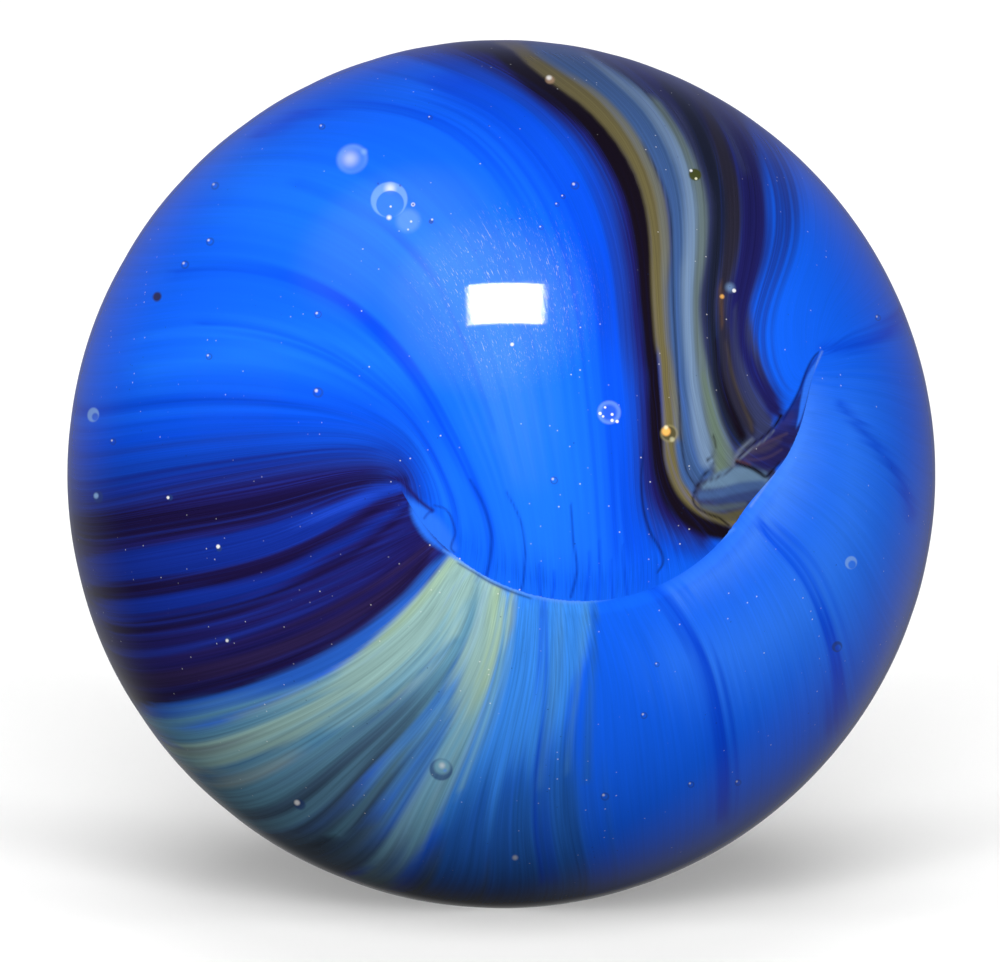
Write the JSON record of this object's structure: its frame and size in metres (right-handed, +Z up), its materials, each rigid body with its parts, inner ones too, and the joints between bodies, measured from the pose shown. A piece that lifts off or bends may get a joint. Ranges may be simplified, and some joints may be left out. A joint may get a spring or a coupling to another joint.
{
  "type": "glass marble",
  "caption": "Solid glass play marble, a true ball of swirled blue glass with pale, olive and dark violet streaks that gather at a shallow fold crease.",
  "frame": {"origin": "centre of the ball", "axes": "+Z up as pictured, -Y towards the camera's side, where the fold crease is"},
  "size_m": [0.016, 0.016, 0.016],
  "materials": {
    "swirl_glass": "fire polished, opaque, with fine drawn streaks"
  },
  "bodies": {
    "root": {"marble": "swirl_glass"}
  },
  "joints": []
}
